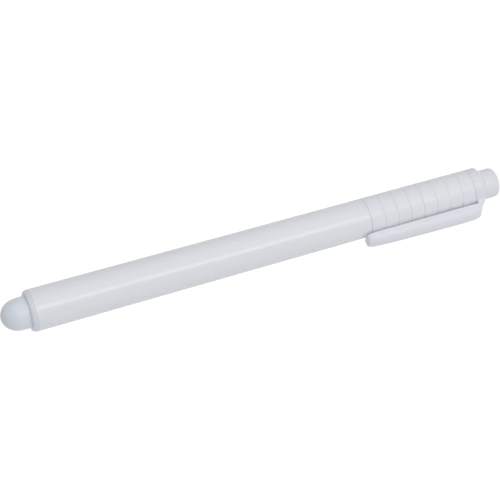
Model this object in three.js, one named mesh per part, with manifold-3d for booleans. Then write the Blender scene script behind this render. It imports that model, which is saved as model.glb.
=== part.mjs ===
// A capped felt-tip pen that tests banknotes with iodine ink, in white moulded plastic.
//
// The pen lies along X on the plane z = 0, with its domed rear plug at -X and its cap at +X. It is
// rolled so far that its pocket clip, which points towards -Y, leans on the plane as well.
// Units are millimetres. The origin is the middle of the pen's box, on the plane.

import * as THREE from "three";
import { mergeVertices } from "three/addons/utils/BufferGeometryUtils.js";
import Module from "manifold-3d";

const wasm = await Module();
wasm.setup();

// ---- driving dimensions -------------------------------------------------------------------

const SEGMENTS = 40; // sides of every turned piece, all in the same phase
const PRESS = 0.05; // clearance on the radius between two pieces that fit in each other
const SEAT = 0.1; // axial clearance where two pieces butt

const DOME_LENGTH = 4.85; // rear plug: the dome is half of an ellipsoid
const DOME_RADIUS = 4.2;
const POST_LENGTH = 2.3; // from the dome to the collar, a little wider there
const POST_RADIUS = 4.27;
const COLLAR_LENGTH = 1.2;
const COLLAR_RADIUS = 5.6;

const BARREL_LENGTH = 92;
const BARREL_REAR_RADIUS = 5.56;
const BARREL_FRONT_RADIUS = 5.18;
const BARREL_BORE = 3.95;

const RIBS = 8; // grip ribs round the cap, parted by fine grooves
const RIB_PITCH = 3.745;
const CAP_MOUTH_RADIUS = 5.21;
const CAP_END_RADIUS = 5.09;
const GROOVE_WIDTH = 0.36;
const GROOVE_DEPTH = 0.24;

const RING_LENGTH = 2.8; // the clip's ring, up to its chamfer
const RING_CHAMFER = 0.9;
const RING_BORE = 4.5;
const STUB_RADIUS = 3.92; // the cap's end plug, where it shows
const STUB_LENGTH = 4.15;
const PLUG_BORE = 3.4; // in the cap shell and the ring, for the end plug's spigot

const CLIP_WIDTH = 4.8;
const CLIP_ROLL = 23.7; // degrees that the clip points below the horizontal
const CLIP_OVERHANG = 2; // past the cap's mouth, over the barrel
const CLIP_ROOT = { inner: 5.3, outer: 8.75 }; // distances from the pen's axis
const CLIP_TIP = { inner: 5.3, outer: 8.35 };
const CLIP_EDGE = 2; // radius of the clip's outer edges
const CLIP_TIP_LENGTH = 3; // of the half round tip
const CLIP_LEAD_IN = 0.5; // how much the tip's underside lifts, to slip over cloth
const CLIP_TIP_DROP = 0.8; // how much its outside comes down
const CLIP_JOINT_GAP = 0.3; // between the arm and the root block that it bends at

const NECK_RADIUS = 4.25; // nib holder: the neck that the cap slides over
const NECK_LENGTH = 10;
const NOSE_RADIUS = 2.3;
const NOSE_START = 15; // from the cap's mouth
const NOSE_END = 20.5;
const HOLDER_SPIGOT = 8; // length inside the barrel

const LINER_START = 13.6; // from the cap's mouth
const LINER_RADIUS = 3.75;
const LINER_BORE = 2.75;

const NIB_RADIUS = 1.6;
const NIB_TIP = 25.5; // from the cap's mouth
const NIB_IN_RESERVOIR = 3;

const RESERVOIR_RADIUS = 3.55;
const RESERVOIR_LENGTH = 72;
const WRAP_RADIUS = 3.75;

// ---- stations along the pen's axis --------------------------------------------------------

const totalLength = DOME_LENGTH + POST_LENGTH + COLLAR_LENGTH + BARREL_LENGTH
  + RIBS * RIB_PITCH + RING_LENGTH + RING_CHAMFER + STUB_LENGTH;
const rearEnd = -totalLength / 2;
const domeCentre = rearEnd + DOME_LENGTH;
const collarFace = domeCentre + POST_LENGTH;
const barrelRear = collarFace + COLLAR_LENGTH;
const capMouth = barrelRear + BARREL_LENGTH;
const ringStart = capMouth + RIBS * RIB_PITCH;
const ringCorner = ringStart + RING_LENGTH;
const stubStart = ringCorner + RING_CHAMFER;
const frontEnd = stubStart + STUB_LENGTH;

const holderRear = capMouth - HOLDER_SPIGOT;
const neckFront = capMouth + NECK_LENGTH;
const reservoirFront = holderRear - 0.3;
const reservoirRear = reservoirFront - RESERVOIR_LENGTH;
const linerStart = capMouth + LINER_START;
const linerEnd = ringStart - 1;
const shellEnd = ringCorner - 0.4; // the cap shell's neck ends inside the clip's ring
const clipTip = capMouth - CLIP_OVERHANG;

// ---- helpers ------------------------------------------------------------------------------

const radians = THREE.MathUtils.degToRad;
const mix = THREE.MathUtils.lerp;

// Points of an arc in a profile. The angles are in degrees, from +x towards the outside.
function arc(x, r, radius, from, to, steps) {
  const points = [];
  for (let i = 0; i <= steps; i++) {
    const angle = radians(mix(from, to, i / steps));
    points.push([x + radius * Math.cos(angle), r + radius * Math.sin(angle)]);
  }
  return points;
}

// A piece turned about the pen's axis. Its profile of [x, r] runs towards +x along the outside,
// and both its ends lie on the axis, or it comes back through a bore to where it began.
function turned(profile) {
  const points = profile.map(([x, r]) => new THREE.Vector2(Math.max(r, 0), x));
  if (points[0].x > 0) points.push(points[0].clone());
  return new THREE.LatheGeometry(points, SEGMENTS).rotateZ(-Math.PI / 2);
}

function solid(geometry) {
  const bare = geometry.clone();
  bare.deleteAttribute("normal");
  bare.deleteAttribute("uv");
  const merged = mergeVertices(bare, 1e-4);
  const vertProperties = merged.attributes.position.array;
  const triVerts = new Uint32Array(merged.index.array);
  return new wasm.Manifold(new wasm.Mesh({ numProp: 3, vertProperties, triVerts }));
}

function geometryOf(manifold) {
  const { vertProperties, triVerts } = manifold.getMesh();
  const shared = new THREE.BufferGeometry();
  shared.setAttribute("position", new THREE.BufferAttribute(vertProperties, 3));
  shared.setIndex(new THREE.BufferAttribute(triVerts, 1));
  const flat = shared.toNonIndexed();
  flat.computeVertexNormals();
  return flat;
}

// A closed body through a row of sections along x. Each is a ring of points [w, rho].
function lofted(sections) {
  const count = sections[0].ring.length;
  const positions = sections.flatMap(({ x, ring }) => ring.flatMap(([w, rho]) => [x, w, rho]));
  const last = (sections.length - 1) * count;
  const index = [];
  for (let start = 0; start < last; start += count) {
    for (let i = 0; i < count; i++) {
      const a = start + i;
      const b = start + ((i + 1) % count);
      index.push(a, b, a + count, b, b + count, a + count);
    }
  }
  for (let i = 1; i + 1 < count; i++) {
    index.push(0, i + 1, i, last, last + i, last + i + 1);
  }
  const geometry = new THREE.BufferGeometry();
  geometry.setAttribute("position", new THREE.Float32BufferAttribute(positions, 3));
  geometry.setIndex(index);
  geometry.computeVertexNormals();
  return geometry;
}

function piece(name, geometry, color, roughness) {
  const material = new THREE.MeshStandardMaterial({ color, roughness, metalness: 0 });
  const mesh = new THREE.Mesh(geometry, material);
  mesh.name = name;
  return mesh;
}

// ---- the barrel and what it holds ---------------------------------------------------------

function barrel() {
  const rear = barrelRear + SEAT;
  const front = capMouth - SEAT;
  const edge = 0.2;
  const profile = [
    [rear, BARREL_BORE],
    [rear, BARREL_REAR_RADIUS - edge],
    [rear + edge, BARREL_REAR_RADIUS],
    [front - edge, BARREL_FRONT_RADIUS],
    [front, BARREL_FRONT_RADIUS - edge],
    [front, BARREL_BORE],
  ];
  return piece("barrel", turned(profile), 0xe4e8ed, 0.32);
}

// The dome, its collar and the spigot that holds it in the barrel are one hollow moulding.
function rearPlug() {
  const spigot = BARREL_BORE - PRESS;
  const spigotEnd = barrelRear + 8.4;
  const hollow = 2.7;
  const rim = 0.3;
  const dome = arc(0, 0, 1, 180, 90, 9)
    .map(([x, r]) => [domeCentre + x * DOME_LENGTH, r * DOME_RADIUS]);
  const profile = [
    ...dome,
    [collarFace, POST_RADIUS],
    ...arc(collarFace + rim, COLLAR_RADIUS - 0.15 - rim, rim, 180, 90, 3),
    [barrelRear - 0.15, COLLAR_RADIUS],
    [barrelRear, COLLAR_RADIUS - 0.12],
    [barrelRear, spigot],
    [spigotEnd - 0.6, spigot],
    [spigotEnd, spigot - 0.3],
    [spigotEnd, hollow],
    ...arc(domeCentre, 0, hollow, 90, 180, 4),
  ];
  return piece("rear_plug", turned(profile), 0xe0e3e8, 0.34);
}

// A bundle of fibres that is soaked with the ink, with a pocket for the nib's rear end.
function inkReservoir() {
  const pocket = reservoirFront - NIB_IN_RESERVOIR - SEAT;
  const profile = [
    [reservoirRear, 0],
    [reservoirRear, RESERVOIR_RADIUS],
    [reservoirFront, RESERVOIR_RADIUS],
    [reservoirFront, NIB_RADIUS + PRESS],
    [pocket, NIB_RADIUS + PRESS],
    [pocket, 0],
  ];
  return piece("ink_reservoir", turned(profile), 0xc9a25a, 0.9);
}

function reservoirWrap() {
  const profile = [
    [reservoirRear, RESERVOIR_RADIUS + PRESS],
    [reservoirRear, WRAP_RADIUS],
    [reservoirFront, WRAP_RADIUS],
    [reservoirFront, RESERVOIR_RADIUS + PRESS],
  ];
  return piece("reservoir_wrap", turned(profile), 0xf2f2ee, 0.2);
}

// Spigot, neck, cone and nose in one piece, bored for the nib's rod.
function nibHolder() {
  const spigot = BARREL_BORE - PRESS;
  const bore = NIB_RADIUS + PRESS;
  const chamber = 3;
  const nose = capMouth + NOSE_END;
  const profile = [
    [holderRear, chamber],
    [holderRear, spigot - 0.3],
    [holderRear + 0.5, spigot],
    [capMouth, spigot],
    [capMouth, NECK_RADIUS],
    [neckFront - 0.4, NECK_RADIUS],
    [neckFront, NECK_RADIUS - 0.3],
    [capMouth + NOSE_START, NOSE_RADIUS],
    ...arc(nose - 0.4, NOSE_RADIUS - 0.4, 0.4, 90, 0, 2),
    [nose, bore],
    [neckFront + 1, bore],
    [neckFront - 2, chamber],
  ];
  return piece("nib_holder", turned(profile), 0xe6e8ea, 0.36);
}

// A rod of pressed fibre with a bullet point.
function nib() {
  const tip = capMouth + NIB_TIP;
  const rear = reservoirFront - NIB_IN_RESERVOIR;
  const point = 0.7;
  const profile = [
    [rear, 0],
    [rear, NIB_RADIUS],
    [tip - 3, NIB_RADIUS],
    ...arc(tip - point, 0, point, 65, 0, 4),
  ];
  return piece("nib", turned(profile), 0xb98a3c, 0.85);
}

// ---- the cap ------------------------------------------------------------------------------

function capRadius(x) {
  return mix(CAP_MOUTH_RADIUS, CAP_END_RADIUS, (x - capMouth) / (ringCorner - capMouth));
}

// The ribbed tube, bored for the neck, then for the liner, then for the end plug.
function capShell() {
  const mouth = capMouth + SEAT;
  const neckBore = NECK_RADIUS + 0.08;
  const linerBore = LINER_RADIUS + PRESS;
  const shoulder = neckFront + 1.5;
  const outerNeck = RING_BORE - PRESS;
  const half = GROOVE_WIDTH / 2;
  const profile = [
    [mouth, neckBore],
    [mouth, capRadius(mouth) - 0.15],
    [mouth + 0.15, capRadius(mouth)],
  ];
  for (let rib = 1; rib < RIBS; rib++) {
    const groove = capMouth + rib * RIB_PITCH;
    const outside = capRadius(groove);
    profile.push([groove - half, outside], [groove, outside - GROOVE_DEPTH]);
    profile.push([groove + half, outside]);
  }
  profile.push(
    [ringStart - half, capRadius(ringStart)],
    [ringStart, capRadius(ringStart) - GROOVE_DEPTH],
    [ringStart, outerNeck],
    [shellEnd, outerNeck],
    [shellEnd, PLUG_BORE],
    [linerEnd + SEAT, PLUG_BORE],
    [linerEnd + SEAT, linerBore],
    [shoulder, linerBore],
    [shoulder, neckBore],
  );
  return piece("cap_shell", turned(profile), 0xdfe3e7, 0.34);
}

// A cup pressed into the shell. Its lip closes on the nose, so that the nib doesn't dry.
function capLiner() {
  const floor = linerEnd - 1;
  const lip = NOSE_RADIUS + PRESS;
  const profile = [
    [floor, 0],
    [floor, LINER_BORE],
    [capMouth + NOSE_END - 2, LINER_BORE],
    [capMouth + NOSE_END - 2.5, lip],
    [linerStart + 2.2, lip],
    [linerStart, LINER_RADIUS - 0.45],
    [linerStart, LINER_RADIUS],
    [linerEnd, LINER_RADIUS],
    [linerEnd, 0],
  ];
  return piece("cap_liner", turned(profile), 0xeeeeea, 0.5);
}

// A plug whose spigot runs through the clip's ring into the shell, and whose stub shows.
function capEndPlug() {
  const spigot = PLUG_BORE - PRESS;
  const inside = linerEnd + 0.4;
  const rim = 1.35;
  const profile = [
    [inside, 0],
    [inside, spigot - 0.3],
    [inside + 0.4, spigot],
    [stubStart + SEAT, spigot],
    [stubStart + SEAT, STUB_RADIUS],
    ...arc(frontEnd - rim, STUB_RADIUS - rim, rim, 90, 0, 4),
    [frontEnd, 0],
  ];
  return piece("cap_end_plug", turned(profile), 0xe2e1e6, 0.4);
}

// ---- the clip, in a frame of its own: x along the pen, w across the clip, rho outwards ------

// Section of the clip: flat inside, rounded along its two outer edges.
function clipSection(x, halfWidth, inner, outer) {
  const edge = Math.min(CLIP_EDGE, 0.9 * halfWidth);
  const ring = [
    [-halfWidth, inner],
    [halfWidth, inner],
    ...arc(halfWidth - edge, outer - edge, edge, 0, 90, 4),
    ...arc(edge - halfWidth, outer - edge, edge, 90, 180, 4),
  ];
  return { x, ring };
}

// Its tip is a half round in plan, a little lower outside and lifted inside.
function clipArm() {
  const halfWidth = CLIP_WIDTH / 2;
  const root = ringStart - CLIP_JOINT_GAP / 2;
  const sections = [];
  for (let degrees = 15; degrees <= 90; degrees += 15) {
    const x = clipTip + CLIP_TIP_LENGTH * (1 - Math.cos(radians(degrees)));
    const towardsTip = 1 - Math.sin(radians(degrees));
    const inner = CLIP_TIP.inner + CLIP_LEAD_IN * towardsTip;
    const outer = CLIP_TIP.outer - CLIP_TIP_DROP * towardsTip;
    sections.push(clipSection(x, halfWidth * Math.sin(radians(degrees)), inner, outer));
  }
  sections.push(clipSection(root - 1, halfWidth, CLIP_ROOT.inner, CLIP_ROOT.outer));
  sections.push(clipSection(root, halfWidth, CLIP_ROOT.inner, CLIP_ROOT.outer - 0.1));
  return piece("clip_arm", lofted(sections), 0xdde0e5, 0.34);
}

// The ring on the cap, with the root block that the arm grows out of. The block's end slopes
// from the ring's corner back to the top of the arm.
function clipRing() {
  const near = ringStart + SEAT;
  const ring = solid(turned([
    [near, 0],
    [near, CAP_END_RADIUS - 0.15],
    [near + 0.15, CAP_END_RADIUS],
    [ringCorner, CAP_END_RADIUS],
    [stubStart, STUB_RADIUS + 0.05],
    [stubStart, 0],
  ]));
  const bores = solid(turned([
    [near - 1, 0],
    [near - 1, RING_BORE],
    [shellEnd + SEAT, RING_BORE],
    [shellEnd + SEAT, PLUG_BORE],
    [stubStart + 1, PLUG_BORE],
    [stubStart + 1, 0],
  ]));
  const halfWidth = CLIP_WIDTH / 2;
  const hidden = 2.5; // the block's underside, inside the ring
  const slope = [[CLIP_JOINT_GAP / 2, 8.65], [0.35, 8.4], [0.72, 7.6], [1.15, 6.8], [1.95, 5.6], [2.3, 5.2]];
  const block = solid(lofted(slope.map(
    ([x, outer]) => clipSection(ringStart + x, halfWidth, hidden, outer),
  )));
  return piece("clip_ring", geometryOf(ring.add(block).subtract(bores)), 0xdde0e5, 0.34);
}

// ---- the pen ------------------------------------------------------------------------------

const clip = new THREE.Group();
clip.rotation.x = radians(90 + CLIP_ROLL); // turns rho from +Z to -Y, then down by the roll
clip.add(clipRing(), clipArm());

const cap = new THREE.Group();
cap.add(capShell(), capLiner(), capEndPlug(), clip);

const body = new THREE.Group();
body.add(barrel(), rearPlug(), inkReservoir(), reservoirWrap(), nibHolder(), nib());

const pen = new THREE.Group();
pen.add(body, cap);

// The clip reaches towards -Y, so the axis lies beside the middle of the box.
const corner = CLIP_WIDTH / 2 - CLIP_EDGE;
const roll = radians(CLIP_ROLL);
const clipReach = (CLIP_ROOT.outer - CLIP_EDGE) * Math.cos(roll) + corner * Math.sin(roll) + CLIP_EDGE;
pen.position.set(0, (clipReach - COLLAR_RADIUS) / 2, COLLAR_RADIUS);

export default new THREE.Group().add(pen);
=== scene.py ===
"""A capped felt-tip pen that tests banknotes: white moulded plastic, with a ribbed cap and a clip."""

import bpy
import math
from mathutils import Matrix, Vector


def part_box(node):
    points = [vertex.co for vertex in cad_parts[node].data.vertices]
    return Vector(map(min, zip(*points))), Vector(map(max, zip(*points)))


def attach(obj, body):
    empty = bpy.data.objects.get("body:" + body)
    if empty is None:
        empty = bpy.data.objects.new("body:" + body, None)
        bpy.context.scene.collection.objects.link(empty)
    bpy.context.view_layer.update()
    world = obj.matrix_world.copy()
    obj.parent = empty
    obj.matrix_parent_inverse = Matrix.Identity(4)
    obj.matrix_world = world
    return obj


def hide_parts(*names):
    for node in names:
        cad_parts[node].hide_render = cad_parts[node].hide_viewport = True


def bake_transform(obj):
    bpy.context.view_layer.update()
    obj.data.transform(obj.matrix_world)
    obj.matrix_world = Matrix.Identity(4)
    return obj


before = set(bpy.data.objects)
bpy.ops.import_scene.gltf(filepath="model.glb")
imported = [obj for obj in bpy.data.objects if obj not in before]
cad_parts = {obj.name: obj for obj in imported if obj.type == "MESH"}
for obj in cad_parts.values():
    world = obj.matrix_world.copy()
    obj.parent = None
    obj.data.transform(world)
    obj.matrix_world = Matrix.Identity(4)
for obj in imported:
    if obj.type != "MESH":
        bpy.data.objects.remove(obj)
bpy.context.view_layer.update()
MM = 0.001


# ---- barrel ---------------------------------------------------------------------------------
# The barrel is the long tapered tube that the hand holds. It is injection moulded in white
# polypropylene, straight off a polished core and a finely blasted cavity, so it is satin.

barrel_low, barrel_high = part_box("barrel")
axis_y = (barrel_low.y + barrel_high.y) / 2
axis_z = (barrel_low.z + barrel_high.z) / 2
ON_AXIS = Vector((0, axis_y, axis_z))


def begin_edit():
    bpy.ops.object.mode_set(mode="EDIT")
    bpy.ops.mesh.select_mode(type="VERT")


def pick(piece, wanted, kind="VERT"):
    """Selects, in edit mode, the vertices, edges or faces that wanted() says yes to."""
    bpy.ops.mesh.select_mode(type=kind)
    bpy.ops.mesh.select_all(action="DESELECT")
    bpy.ops.object.mode_set(mode="OBJECT")
    mesh = piece.data
    parts = {"VERT": mesh.vertices, "EDGE": mesh.edges, "FACE": mesh.polygons}[kind]
    for part in parts:
        part.select = bool(wanted(part))
    bpy.ops.object.mode_set(mode="EDIT")


def turn(name, section, sides=96):
    """Draws half of a section above the axis as points of (x, radius) and spins it round the axis."""
    bpy.ops.object.select_all(action="DESELECT")
    first_x, first_radius = section[0]
    start = ON_AXIS + Vector((first_x, 0, first_radius))
    bpy.ops.mesh.primitive_plane_add(size=MM, location=start)
    piece = bpy.context.object
    piece.name = name
    begin_edit()
    bpy.ops.mesh.select_all(action="SELECT")
    bpy.ops.mesh.merge(type="CENTER")
    for (x0, r0), (x1, r1) in zip(section, section[1:]):
        bpy.ops.mesh.extrude_region_move(TRANSFORM_OT_translate={"value": (x1 - x0, 0, r1 - r0)})
    bpy.ops.mesh.select_all(action="SELECT")
    bpy.ops.mesh.spin(steps=sides, angle=2 * math.pi, center=ON_AXIS, axis=(1, 0, 0))
    bpy.ops.mesh.select_all(action="SELECT")
    bpy.ops.mesh.remove_doubles(threshold=0.002 * MM)
    bpy.ops.mesh.normals_make_consistent(inside=False)
    bpy.ops.object.mode_set(mode="OBJECT")
    bpy.ops.object.transform_apply(location=True, rotation=True, scale=True)
    return piece


def radius_of(point):
    return math.hypot(point.y - axis_y, point.z - axis_z)


def round_edge(piece, x, radius, width, segments=4):
    """Bevels the hoop of edges at one station and radius, as a mould's edges are never sharp."""
    begin_edit()
    points = piece.data.vertices

    def on_hoop(edge):
        return all(
            abs(points[i].co.x - x) < 0.01 * MM and abs(radius_of(points[i].co) - radius) < 0.02 * MM
            for i in edge.vertices
        )

    pick(piece, on_hoop, "EDGE")
    bpy.ops.mesh.bevel(offset=width, segments=segments, profile=0.5, affect="EDGES")
    bpy.ops.object.mode_set(mode="OBJECT")


def smooth(piece, angle=32):
    """Smooth shading in which the long faces keep their own direction beside a small rounding."""
    bpy.ops.object.select_all(action="DESELECT")
    piece.select_set(True)
    bpy.context.view_layer.objects.active = piece
    bpy.ops.object.shade_smooth_by_angle(angle=math.radians(angle))
    weighted = piece.modifiers.new("face weight", "WEIGHTED_NORMAL")
    weighted.keep_sharp = True
    bpy.ops.object.modifier_apply(modifier=weighted.name)


def linear(colour):
    """An sRGB hex colour as linear RGBA."""
    channels = [int(colour[i:i + 2], 16) / 255 for i in (1, 3, 5)]
    return [c / 12.92 if c <= 0.04045 else ((c + 0.055) / 1.055) ** 2.4 for c in channels] + [1.0]


def add(material, kind, settings=None, **links):
    """Adds a node, sets its properties and unlinked sockets, and links its inputs by name, or
    by number where two share a name."""
    nodes = material.node_tree.nodes
    node = nodes.new(kind)
    for key, value in (settings or {}).items():
        if key in node.inputs:
            node.inputs[key].default_value = value
        else:
            setattr(node, key, value)
    for key, source in links.items():
        numbered = key[0] == "i" and key[1:].isdigit()
        socket = int(key[1:]) if numbered else key.replace("_", " ")
        material.node_tree.links.new(source, node.inputs[socket])
    return node


MIX_FIRST, MIX_SECOND, MIX_RESULT = 6, 7, 2  # the colour sockets of a Mix node


def moulded_plastic(name, colour, roughness, mould_grain=0.5, glow=0.3):
    """White injection-moulded thermoplastic. Its surface copies the steel of the mould: a fine
    blasted grain, broad sink ripples where the wall cooled, and rubbed streaks from handling."""
    material = bpy.data.materials.new(name)
    material.use_nodes = True
    material.node_tree.nodes.clear()
    place = add(material, "ShaderNodeTexCoord").outputs["Object"]

    # the melt's flow clouds the colour a little, over 15 mm along the pen and 5 mm across
    cloud_size = (1 / (15 * MM), 1 / (5 * MM), 1 / (5 * MM))
    along = add(material, "ShaderNodeMapping", {"Scale": cloud_size}, Vector=place).outputs[0]
    flow = add(material, "ShaderNodeTexNoise", {"Scale": 1, "Detail": 2}, Vector=along).outputs["Fac"]
    lighter = [min(1, c * 1.015) for c in linear(colour)[:3]] + [1]
    darker = [c * 0.985 for c in linear(colour)[:3]] + [1]
    cloud = add(material, "ShaderNodeMix", {"data_type": "RGBA"}, Factor=flow)
    cloud.inputs[MIX_FIRST].default_value = darker
    cloud.inputs[MIX_SECOND].default_value = lighter

    # handling rubs the grain smooth in streaks, 4 mm long and 0.5 mm wide
    streak_size = (1 / (4 * MM), 1 / (0.5 * MM), 1 / (0.5 * MM))
    streaks = add(material, "ShaderNodeMapping", {"Scale": streak_size}, Vector=place).outputs[0]
    rubbed = add(
        material, "ShaderNodeTexNoise", {"Scale": 1, "Detail": 3}, Vector=streaks
    ).outputs["Fac"]
    gloss = add(
        material, "ShaderNodeMapRange",
        {"From Min": 0.3, "From Max": 0.7, "To Min": roughness - 0.012, "To Max": roughness + 0.018},
        Value=rubbed,
    ).outputs[0]

    # the blasted grain is 0.05 mm on the real part and drawn 0.3 mm wide, so that it still shows,
    # and the sink ripples are 4 mm wide
    blasted = {"Scale": 1 / (0.3 * MM), "Detail": 1}
    grain = add(material, "ShaderNodeTexNoise", blasted, Vector=place).outputs["Fac"]
    sunk = {"Scale": 1 / (4 * MM), "Detail": 1}
    ripple = add(material, "ShaderNodeTexNoise", sunk, Vector=place).outputs["Fac"]
    fine = add(
        material, "ShaderNodeBump", {"Strength": mould_grain, "Distance": 0.004 * MM}, Height=grain
    ).outputs[0]
    bumps = add(
        material, "ShaderNodeBump", {"Strength": 0.5, "Distance": 0.01 * MM}, Height=ripple, Normal=fine
    ).outputs[0]

    # light goes 0.8 mm into the white wall before it comes out again, and red goes deepest
    shader = add(
        material, "ShaderNodeBsdfPrincipled",
        {
            "IOR": 1.49,
            "Subsurface Weight": glow,
            "Subsurface Radius": (1.0, 0.9, 0.8),
            "Subsurface Scale": 0.8 * MM,
        },
        Base_Color=cloud.outputs[MIX_RESULT], Roughness=gloss, Normal=bumps,
    )
    add(material, "ShaderNodeOutputMaterial", Surface=shader.outputs[0])
    return material


def coat(piece, material):
    piece.data.materials.clear()
    piece.data.materials.append(material)


# the tube closes up to its neighbours, so that only a hairline is left at each seam
seam_closed = 0.08 * MM
hairline = 0.02 * MM
rear_end_x = barrel_low.x - seam_closed
front_end_x = barrel_high.x + seam_closed
barrel_rear_radius = barrel_high.z - axis_z
barrel_front_radius = 5.18 * MM
barrel_bore = 3.95 * MM
barrel = turn("barrel_tube", [
    (rear_end_x, barrel_bore),
    (rear_end_x, barrel_rear_radius),
    (front_end_x, barrel_front_radius),
    (front_end_x, barrel_bore),
    (rear_end_x, barrel_bore),
])
round_edge(barrel, rear_end_x, barrel_rear_radius, 0.16 * MM)
round_edge(barrel, front_end_x, barrel_front_radius, 0.1 * MM)
smooth(barrel)
# polypropylene, cool white with a blue tint: satin, with one soft sheen along its back
coat(barrel, moulded_plastic("moulded_polypropylene_barrel", "#EFF2F8", 0.26))
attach(barrel, "barrel")
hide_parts("barrel")


# ---- rear plug ------------------------------------------------------------------------------
# The plug closes the barrel's rear end once the ink is in. Its dome, post, collar and spigot are
# one hollow moulding of polypropylene, pressed in until the collar meets the barrel.

plug_low, plug_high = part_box("rear_plug")
dome_length = 4.85 * MM
dome_radius = 4.2 * MM
post_radius = 4.27 * MM
collar_face_x = plug_low.x + 7.15 * MM
collar_x = rear_end_x - hairline
collar_radius = plug_high.z - axis_z
collar_drop = 0.5 * MM  # how far the rim of the collar's rear face lies under its full radius
spigot_radius = 3.9 * MM
hollow_radius = 2.7 * MM
hollow_floor_x = plug_low.x + dome_length
dome_steps = 16
dome = []
for step in range(dome_steps + 1):
    angle = math.radians(90) * step / dome_steps
    dome.append((
        plug_low.x + dome_length * (1 - math.cos(angle)),
        dome_radius * math.sin(angle),
    ))
rear_plug = turn("rear_plug_moulding", dome + [
    (collar_face_x, post_radius),
    (collar_face_x, collar_radius - collar_drop),
    (collar_face_x + 0.35 * MM, collar_radius - 0.24 * MM),
    (collar_face_x + 0.8 * MM, collar_radius - 0.07 * MM),
    (collar_x, collar_radius),
    (collar_x, spigot_radius),
    (plug_high.x, spigot_radius),
    (plug_high.x, hollow_radius),
    (hollow_floor_x, hollow_radius),
    (hollow_floor_x - hollow_radius, 0),
])
round_edge(rear_plug, collar_face_x, collar_radius - collar_drop, 0.12 * MM)
round_edge(rear_plug, collar_x, collar_radius, 0.12 * MM)
smooth(rear_plug, 40)
# the barrel's polypropylene, a touch bluer, from a smoother mould: the dome has one wide sheen
coat(rear_plug, moulded_plastic("moulded_polypropylene_plug", "#E9EEF8", 0.3, mould_grain=0.35))
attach(rear_plug, "barrel")
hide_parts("rear_plug")


# ---- nib holder -----------------------------------------------------------------------------
# The holder is pressed into the barrel's front end. The cap slides over its neck, and its cone
# and nose lead the nib's rod out. It is moulded in white polypropylene.

holder_low, holder_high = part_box("nib_holder")
mouth_x = front_end_x + hairline
neck_radius = holder_high.z - axis_z
neck_x = mouth_x + 10 * MM
cone_radius = neck_radius - 0.3 * MM
nose_radius = 2.3 * MM
nose_x = mouth_x + 15 * MM
nib_bore = 1.65 * MM
ink_bore = 3 * MM
funnel_start_x = neck_x - 2 * MM
funnel_end_x = neck_x + 1 * MM
nib_holder = turn("nib_holder_moulding", [
    (holder_low.x, ink_bore),
    (holder_low.x, spigot_radius),
    (mouth_x, spigot_radius),
    (mouth_x, neck_radius),
    (neck_x, neck_radius),
    (neck_x, cone_radius),
    (nose_x, nose_radius),
    (holder_high.x, nose_radius),
    (holder_high.x, nib_bore),
    (funnel_end_x, nib_bore),
    (funnel_start_x, ink_bore),
    (holder_low.x, ink_bore),
])
round_edge(nib_holder, neck_x, neck_radius, 0.25 * MM)
round_edge(nib_holder, nose_x, nose_radius, 0.5 * MM)
round_edge(nib_holder, holder_high.x, nose_radius, 0.4 * MM)
smooth(nib_holder)
# polypropylene, a little whiter than what the hand rubs and finer in its grain
holder_white = moulded_plastic("moulded_polypropylene_holder", "#F2F4F6", 0.28, mould_grain=0.3)
coat(nib_holder, holder_white)
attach(nib_holder, "barrel")
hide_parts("nib_holder")


# ---- nib ------------------------------------------------------------------------------------
# The nib is a rod of acrylic fibres, pressed, bonded with resin and ground to a bullet point. It
# is held in the holder's bore by friction, and draws the ink out of the reservoir.

nib_low, nib_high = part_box("nib")
nib_radius = nib_high.z - axis_z
bullet_x = nib_high.x - 3 * MM
point_radius = 0.7 * MM
point_steps = 6
point = []
for step in range(point_steps + 1):
    angle = math.radians(65) * (1 - step / point_steps)
    point.append((
        nib_high.x - point_radius * (1 - math.cos(angle)),
        point_radius * math.sin(angle),
    ))
nib = turn("nib_rod", [
    (nib_low.x, 0),
    (nib_low.x, nib_radius),
    (bullet_x, nib_radius),
] + point, sides=48)
round_edge(nib, bullet_x, nib_radius, 0.5 * MM)
smooth(nib, 50)


def ink_soaked_fibre(name, dry, soaked, fibre_width, roughness):
    """Bonded synthetic fibre that iodine ink has soaked: streaks run along the rod, and the
    amber is deeper where more ink sits."""
    material = bpy.data.materials.new(name)
    material.use_nodes = True
    material.node_tree.nodes.clear()
    place = add(material, "ShaderNodeTexCoord").outputs["Object"]
    # a fibre runs straight for about 30 times its width
    strand_size = (1 / (30 * fibre_width), 1 / fibre_width, 1 / fibre_width)
    strand = add(
        material, "ShaderNodeMapping", {"Scale": strand_size}, Vector=place
    ).outputs[0]
    fibre = add(
        material, "ShaderNodeTexNoise", {"Scale": 1, "Detail": 3}, Vector=strand
    ).outputs["Fac"]
    # the ink sits in patches 3 mm wide
    patches = {"Scale": 1 / (3 * MM), "Detail": 2}
    patch = add(material, "ShaderNodeTexNoise", patches, Vector=place).outputs["Fac"]
    amount = add(material, "ShaderNodeMath", {"operation": "MULTIPLY"}, i0=fibre, i1=patch).outputs[0]
    wet = add(
        material, "ShaderNodeMapRange", {"From Min": 0.12, "From Max": 0.38}, Value=amount
    ).outputs[0]
    colour = add(material, "ShaderNodeMix", {"data_type": "RGBA"}, Factor=wet)
    colour.inputs[MIX_FIRST].default_value = linear(dry)
    colour.inputs[MIX_SECOND].default_value = linear(soaked)
    relief = add(
        material, "ShaderNodeBump", {"Strength": 0.8, "Distance": fibre_width / 4}, Height=fibre
    ).outputs[0]
    shader = add(
        material, "ShaderNodeBsdfPrincipled", {"IOR": 1.5, "Roughness": roughness},
        Base_Color=colour.outputs[MIX_RESULT], Normal=relief,
    )
    add(material, "ShaderNodeOutputMaterial", Surface=shader.outputs[0])
    return material


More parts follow.
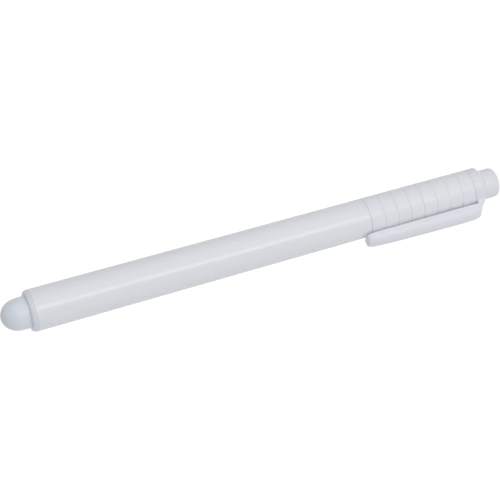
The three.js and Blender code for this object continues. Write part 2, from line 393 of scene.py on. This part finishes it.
# fibres of 0.02 mm, drawn 0.12 mm wide so that they show, stained amber by the iodine
coat(nib, ink_soaked_fibre("pressed_acrylic_fibre", "#D9B878", "#9C6A2C", 0.12 * MM, 0.6))
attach(nib, "barrel")
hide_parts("nib")


# ---- ink reservoir and its wrap -------------------------------------------------------------
# A loose bundle of polyester fibres holds the ink, in a sleeve of clear film that keeps it round.
# Both are pushed into the barrel from the rear, before the plug. They never show, so they stay
# a plain rod and a plain tube.

# thicker and looser fibre than the nib's, drawn 0.25 mm wide
soaked_bundle = ink_soaked_fibre("soaked_polyester_bundle", "#D8B676", "#A87838", 0.25 * MM, 0.7)
coat(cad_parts["ink_reservoir"], soaked_bundle)

# clear film, blown thin and a little hazy, with long creases that are 12 mm by 1.1 mm
film = bpy.data.materials.new("blown_polypropylene_film")
film.use_nodes = True
film.node_tree.nodes.clear()
film_place = add(film, "ShaderNodeTexCoord").outputs["Object"]
crease_size = (1 / (12 * MM), 1 / (1.1 * MM), 1 / (1.1 * MM))
crease_place = add(
    film, "ShaderNodeMapping", {"Scale": crease_size}, Vector=film_place
).outputs[0]
creases = add(
    film, "ShaderNodeTexNoise", {"Scale": 1, "Detail": 2}, Vector=crease_place
).outputs["Fac"]
film_relief = add(
    film, "ShaderNodeBump", {"Strength": 0.6, "Distance": 0.05 * MM}, Height=creases
).outputs[0]
film_haze = add(
    film, "ShaderNodeMapRange", {"To Min": 0.12, "To Max": 0.28}, Value=creases
).outputs[0]
film_shader = add(
    film, "ShaderNodeBsdfPrincipled",
    {"Base Color": linear("#F2F2EE"), "IOR": 1.49, "Alpha": 0.45},
    Roughness=film_haze, Normal=film_relief,
)
add(film, "ShaderNodeOutputMaterial", Surface=film_shader.outputs[0])
coat(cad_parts["reservoir_wrap"], film)


# ---- cap shell ------------------------------------------------------------------------------
# The cap's tube has eight grip ribs, each a slightly crowned band between two fine grooves, as
# the mould leaves them. It is polypropylene and pulls straight off the holder's neck.

shell_end_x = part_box("cap_shell")[1].x
RIBS = 8
rib_pitch = 3.745 * MM
ring_start_x = mouth_x + RIBS * rib_pitch
cap_mouth_radius = 5.21 * MM
cap_end_radius = 5.09 * MM
cap_taper_length = 33 * MM
groove_half = 0.3 * MM
groove_depth = 0.2 * MM
seam_depth = 0.06 * MM
rib_crown = 0.03 * MM


def cap_radius(x):
    taper = (x - mouth_x) / cap_taper_length
    return cap_mouth_radius + (cap_end_radius - cap_mouth_radius) * taper


def groove_at(share, floor):
    """How deep a groove is at a share of its half width from the middle, with rounded walls."""
    return rib_crown + (floor - rib_crown) * (1 + math.cos(math.pi * share)) / 2


cap_bore = neck_radius + 0.08 * MM
liner_bore = 3.8 * MM
plug_bore = 3.4 * MM
shell_neck_radius = 4.45 * MM
liner_seat_x = neck_x + 1.5 * MM
plug_seat_x = ring_start_x - 0.9 * MM
shell_rear_x = mouth_x + hairline
section = [(shell_rear_x, cap_bore)]
for rib in range(RIBS):
    rib_start = mouth_x + rib * rib_pitch
    rib_end = rib_start + rib_pitch
    lead = rib_start + groove_half
    # the first rib starts with half a groove at the cap's mouth
    if rib == 0:
        for share in (0, 0.35, 0.7):
            depth = groove_at(share, seam_depth)
            section.append((shell_rear_x + share * groove_half, cap_radius(lead) - depth))
    section.append((lead, cap_radius(lead) - rib_crown))
    for share in (0.04, 0.15, 0.5, 0.85, 0.96):
        x = lead + share * (rib_end - groove_half - lead)
        lift = rib_crown * (1 - (2 * share - 1) ** 2)
        section.append((x, cap_radius(x) - rib_crown + lift))
    # and the last one ends with half a groove at the clip's ring
    last = rib == RIBS - 1
    for share in (-1, -0.7, -0.35, 0) if last else (-1, -0.7, -0.35, 0, 0.35, 0.7):
        depth = groove_at(share, seam_depth if last else groove_depth)
        section.append((rib_end + share * groove_half, cap_radius(rib_end) - depth))
section += [
    (ring_start_x, shell_neck_radius),
    (shell_end_x, shell_neck_radius),
    (shell_end_x, plug_bore),
    (plug_seat_x, plug_bore),
    (plug_seat_x, liner_bore),
    (liner_seat_x, liner_bore),
    (liner_seat_x, cap_bore),
    (shell_rear_x, cap_bore),
]
cap_shell = turn("cap_shell_moulding", section)
smooth(cap_shell, 60)
# polypropylene as the barrel's, but duller and coarser in its grain, so that fingers grip it
coat(cap_shell, moulded_plastic("moulded_polypropylene_cap", "#EFF2F8", 0.34, mould_grain=0.6))
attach(cap_shell, "cap")
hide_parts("cap_shell")


# ---- cap liner ------------------------------------------------------------------------------
# The liner is a cup of soft polyethylene, pressed into the shell through its mouth. Its lip
# closes on the holder's nose, so that the nib doesn't dry.

liner_low, liner_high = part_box("cap_liner")
liner_radius = liner_high.z - axis_z
lip_radius = 2.35 * MM
lip_start_x = liner_low.x + 2.2 * MM
lip_end_x = mouth_x + 18 * MM
cup_radius = 2.75 * MM
cup_floor_x = liner_high.x - 1 * MM
liner = turn("cap_liner_cup", [
    (cup_floor_x, 0),
    (cup_floor_x, cup_radius),
    (lip_end_x + 0.5 * MM, cup_radius),
    (lip_end_x, lip_radius),
    (lip_start_x, lip_radius),
    (liner_low.x, liner_radius - 0.45 * MM),
    (liner_low.x, liner_radius),
    (liner_high.x, liner_radius),
    (liner_high.x, 0),
])
round_edge(liner, liner_low.x, liner_radius, 0.15 * MM)
smooth(liner)
# low-density polyethylene: a warmer, waxy white, with a softer sheen than the shell's
coat(liner, moulded_plastic("moulded_polyethylene_liner", "#F2F2EC", 0.45, mould_grain=0.3))
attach(liner, "cap_seal")
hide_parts("cap_liner")


# ---- clip with its ring ---------------------------------------------------------------------
# Ring and clip are one moulding of stiffer polypropylene, pushed over the shell's neck. The arm
# grows out of a block on the ring and springs when it goes over a pocket's edge.

ring_radius = cap_end_radius * 1.003
ring_corner = 2.7 * MM
ring_bore = 4.5 * MM
ring_shelf = 2.7 * MM
ring_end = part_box("clip_ring")[1].x - ring_start_x
ring_section = [
    (hairline, ring_bore),
    (hairline, ring_radius - 0.08 * MM),
    (0.1 * MM, ring_radius - 0.03 * MM),
    (0.3 * MM, ring_radius),
    (1.15 * MM, ring_radius),
    (2.2 * MM, ring_radius),
    (ring_corner - 0.15 * MM, ring_radius),
    (ring_corner + 0.15 * MM, ring_radius - 0.15 * MM),
    (ring_corner + 0.45 * MM, ring_radius - 0.6 * MM),
    (ring_corner + 0.75 * MM, 4.1 * MM),
    (ring_end, 3.9 * MM),
    (ring_end, 3.8 * MM),
    (ring_end, plug_bore),
    (ring_shelf, plug_bore),
    (ring_shelf, ring_bore),
    (hairline, ring_bore),
]
clip = turn("clip_and_ring", [(ring_start_x + x, r) for x, r in ring_section], sides=48)

arm_root_x = ring_start_x + 0.3 * MM
arm_tip_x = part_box("clip_arm")[0].x
block_end_x = ring_start_x + 2.2 * MM


def block_face(face):
    """The outer faces of the ring that the clip stands on, eight across and two along."""
    y, z = face.center.y - axis_y, face.center.z - axis_z
    outside = math.hypot(y, z) > 4.9 * MM
    on_top = abs(math.atan2(y, z)) < math.radians(30)
    return arm_root_x < face.center.x < block_end_x and outside and on_top


def grow_block(rise, along, across, flatten, height):
    """Extrudes the block's top upwards and scales it about the edge that the arm leaves from."""
    bpy.ops.mesh.extrude_region_move(TRANSFORM_OT_translate={"value": (0, 0, rise)})
    bpy.ops.transform.resize(
        value=(along, across, flatten),
        center_override=(arm_root_x, axis_y, axis_z + height),
    )


# each step draws in the wall at the cap's end, up to the ridge that runs into the arm's top
begin_edit()
pick(clip, block_face, "FACE")
grow_block(0.4 * MM, 0.88, 0.97, 0.2, 5.45 * MM)
grow_block(1.2 * MM, 0.56, 0.98, 1.0, 6.6 * MM)
grow_block(0.7 * MM, 0.55, 0.91, 1.0, 7.3 * MM)
grow_block(0.89 * MM, 0.07, 0.8, 4.3, 8.2 * MM)
bpy.ops.object.mode_set(mode="OBJECT")


def root_face(face):
    """The block's rear wall above the gap, where the arm leaves it."""
    rear_wall = abs(face.center.x - arm_root_x) < 0.02 * MM and face.normal.x < -0.9
    above_gap = face.center.z - axis_z > 5.45 * MM
    return rear_wall and above_gap and abs(face.center.y - axis_y) < 2.6 * MM


def to_section(before, after):
    """Extrudes the arm's free end to its next section: (x, width, inside, outside)."""
    x0, wide0, inside0, outside0 = before
    x1, wide1, inside1, outside1 = after
    bpy.ops.mesh.extrude_region_move(TRANSFORM_OT_translate={"value": (x1 - x0, 0, 0)})
    bpy.ops.transform.resize(
        value=(1, wide1 / wide0, (outside1 - inside1) / (outside0 - inside0)),
        center_override=(0, axis_y, axis_z + inside0),
    )
    bpy.ops.transform.translate(value=(0, 0, inside1 - inside0))


# stations along the arm, its width as a share of the block's, and how far out its faces lie
arm_length = arm_root_x - arm_tip_x
arm_inside = 5.3 * MM
arm_sections = [
    (arm_root_x - 0.35 * MM, 1.0, arm_inside, 8.24 * MM),
    (arm_root_x - 0.9 * MM, 1.0, arm_inside, 8.4 * MM),
    (arm_root_x - 2.2 * MM, 1.0, arm_inside, 8.62 * MM),
    (arm_root_x - 0.35 * arm_length, 1.0, arm_inside, 8.57 * MM),
    (arm_root_x - 0.65 * arm_length, 1.0, arm_inside, 8.44 * MM),
    (arm_tip_x + 4.2 * MM, 1.0, arm_inside, 8.24 * MM),
    (arm_tip_x + 2.4 * MM, 0.99, 5.32 * MM, 8.14 * MM),
    (arm_tip_x + 1.1 * MM, 0.94, 5.36 * MM, 8.0 * MM),
    (arm_tip_x + 0.3 * MM, 0.82, 5.43 * MM, 7.84 * MM),
    (arm_tip_x, 0.58, 5.58 * MM, 7.6 * MM),
]
begin_edit()
pick(clip, root_face, "FACE")
before = (arm_root_x, 1.0, 5.42 * MM, 8.2 * MM)
for after in arm_sections:
    to_section(before, after)
    before = after
bpy.ops.object.mode_set(mode="OBJECT")

subdivision = clip.modifiers.new("smooth", "SUBSURF")
subdivision.levels = subdivision.render_levels = 2
bpy.ops.object.select_all(action="DESELECT")
clip.select_set(True)
bpy.context.view_layer.objects.active = clip
bpy.ops.object.modifier_apply(modifier=subdivision.name)
bpy.ops.object.shade_smooth()

# the clip was modelled standing straight up, and is rolled down until the pen rests on it
roll = Matrix.Rotation(math.radians(90 + 23.7), 4, "X")
clip.data.transform(Matrix.Translation(ON_AXIS) @ roll @ Matrix.Translation(-ON_AXIS))
# polypropylene again, a touch darker, from a mould with a finer grain
coat(clip, moulded_plastic("moulded_polypropylene_clip", "#ECEFF6", 0.33, mould_grain=0.4))
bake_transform(clip)
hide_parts("clip_ring", "clip_arm")


# ---- cap end plug ---------------------------------------------------------------------------
# The plug closes the cap's end. Its spigot is pressed through the clip's ring into the shell and
# holds the ring in place, and its stub shows. It is moulded in a slightly warmer white.

end_low, end_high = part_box("cap_end_plug")
stub_radius = end_high.z - axis_z
stub_x = ring_start_x + ring_end - 0.3 * MM
end_spigot_radius = plug_bore - 0.05 * MM
gate_radius = 0.6 * MM  # the small sunk disc on the end, where the melt came in
gate_floor_x = end_high.x - 0.12 * MM
end_plug = turn("cap_end_plug_moulding", [
    (end_low.x, 0),
    (end_low.x, end_spigot_radius),
    (stub_x, end_spigot_radius),
    (stub_x, stub_radius),
    (end_high.x, stub_radius),
    (end_high.x, gate_radius),
    (gate_floor_x, gate_radius - 0.1 * MM),
    (gate_floor_x, 0),
])
round_edge(end_plug, end_high.x, stub_radius, 1.35 * MM, segments=8)
smooth(end_plug)
# polypropylene from another batch, warmer and duller than the rest, and less light goes into it
end_white = moulded_plastic(
    "moulded_polypropylene_end_plug", "#EDEDF2", 0.38, mould_grain=0.4, glow=0.2
)
coat(end_plug, end_white)
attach(end_plug, "cap")
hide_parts("cap_end_plug")


# ---- studio ---------------------------------------------------------------------------------
# The pen lies on a white acrylic sheet that is lit through from behind. A long soft box stands
# in front of it and a wide one hangs overhead. The white room fills the shadows, more strongly
# from below and from the cap's side.

bpy.ops.object.select_all(action="DESELECT")
bpy.ops.mesh.primitive_plane_add(size=6, location=(0, 0, -hairline))
sweep = bpy.context.object
sweep.name = "sweep"
# frosted acrylic, dull and nearly white from the lamps behind it
acrylic = bpy.data.materials.new("white_acrylic_sheet")
acrylic.use_nodes = True
acrylic.node_tree.nodes.clear()
sheet_shader = add(acrylic, "ShaderNodeBsdfPrincipled", {
    "Base Color": linear("#8A8A8A"),
    "Roughness": 0.7,
    "Emission Color": linear("#FFFFFF"),
    "Emission Strength": 0.86,
})
add(acrylic, "ShaderNodeOutputMaterial", Surface=sheet_shader.outputs[0])
coat(sweep, acrylic)
# the room lights the pen from below, so the sheet itself throws no light up and isn't mirrored
sweep.visible_diffuse = sweep.visible_glossy = False

# the camera stands in front of the pen, turned towards its rear end, and looks down on it
sight_turn = math.radians(21.0)
sight_elevation = math.radians(46.63)
sight_distance = 626.2 * MM
back = Vector((
    -math.sin(sight_turn) * math.cos(sight_elevation),
    -math.cos(sight_turn) * math.cos(sight_elevation),
    math.sin(sight_elevation),
))
right = Vector((math.cos(sight_turn), -math.sin(sight_turn), 0))
up = back.cross(right)
# it looks just beside the middle of the pen's axis: a little to the rear, left and down
target = ON_AXIS - Vector((1.0945 * MM, 0, 0)) - right * 0.156 * MM - up * 0.1359 * MM
bpy.ops.object.camera_add(location=target + back * sight_distance)
camera = bpy.context.object
camera.data.lens = 172.8
camera.data.sensor_width = 36
camera.data.clip_start = 0.01
camera.rotation_mode = "QUATERNION"
camera.rotation_quaternion = (-back).to_track_quat("-Z", "Y")
bpy.context.scene.camera = camera

world = bpy.data.worlds.new("white room")
bpy.context.scene.world = world
world.use_nodes = True
sky = world.node_tree.nodes["Background"]
sky.inputs["Color"].default_value = linear("#FFFFFF")
direction = add(world, "ShaderNodeTexCoord").outputs["Generated"]
sides = add(world, "ShaderNodeSeparateXYZ", Vector=direction).outputs
# brighter under the horizon than over it, with a soft step between them
height_light = add(
    world, "ShaderNodeMapRange",
    {"From Min": -0.1, "From Max": 0.1, "To Min": 0.8, "To Max": 0.46},
    Value=sides["Z"],
).outputs[0]
# and brighter at the cap's end of the room than at the barrel's
length_light = add(
    world, "ShaderNodeMapRange",
    {"From Min": -1, "From Max": 1, "To Min": 0.77, "To Max": 1.22},
    Value=sides["X"],
).outputs[0]
room_light = add(
    world, "ShaderNodeMath", {"operation": "MULTIPLY"}, i0=height_light, i1=length_light
).outputs[0]
world.node_tree.links.new(room_light, sky.inputs["Strength"])


def soft_box(name, elevation, along, reach, length, depth, power):
    """Hangs an even rectangular light that faces the pen from its front, and shifts it along."""
    towards = Vector((0, -math.cos(elevation), math.sin(elevation)))
    place = ON_AXIS + towards * reach + Vector((along, 0, 0))
    bpy.ops.object.light_add(type="AREA", location=place)
    lamp = bpy.context.object
    lamp.name = name
    lamp.data.shape = "RECTANGLE"
    lamp.data.size = length
    lamp.data.size_y = depth
    lamp.data.energy = power
    lamp.rotation_mode = "QUATERNION"
    lamp.rotation_quaternion = (-towards).to_track_quat("-Z", "Y")


soft_box("front strip", math.radians(48.6), along=0.2, reach=0.9, length=0.56, depth=0.12, power=1.6)
soft_box("ceiling", math.radians(80), along=0, reach=1.3, length=1.6, depth=1.2, power=4.3)
bpy.context.scene.view_settings.view_transform = "Standard"
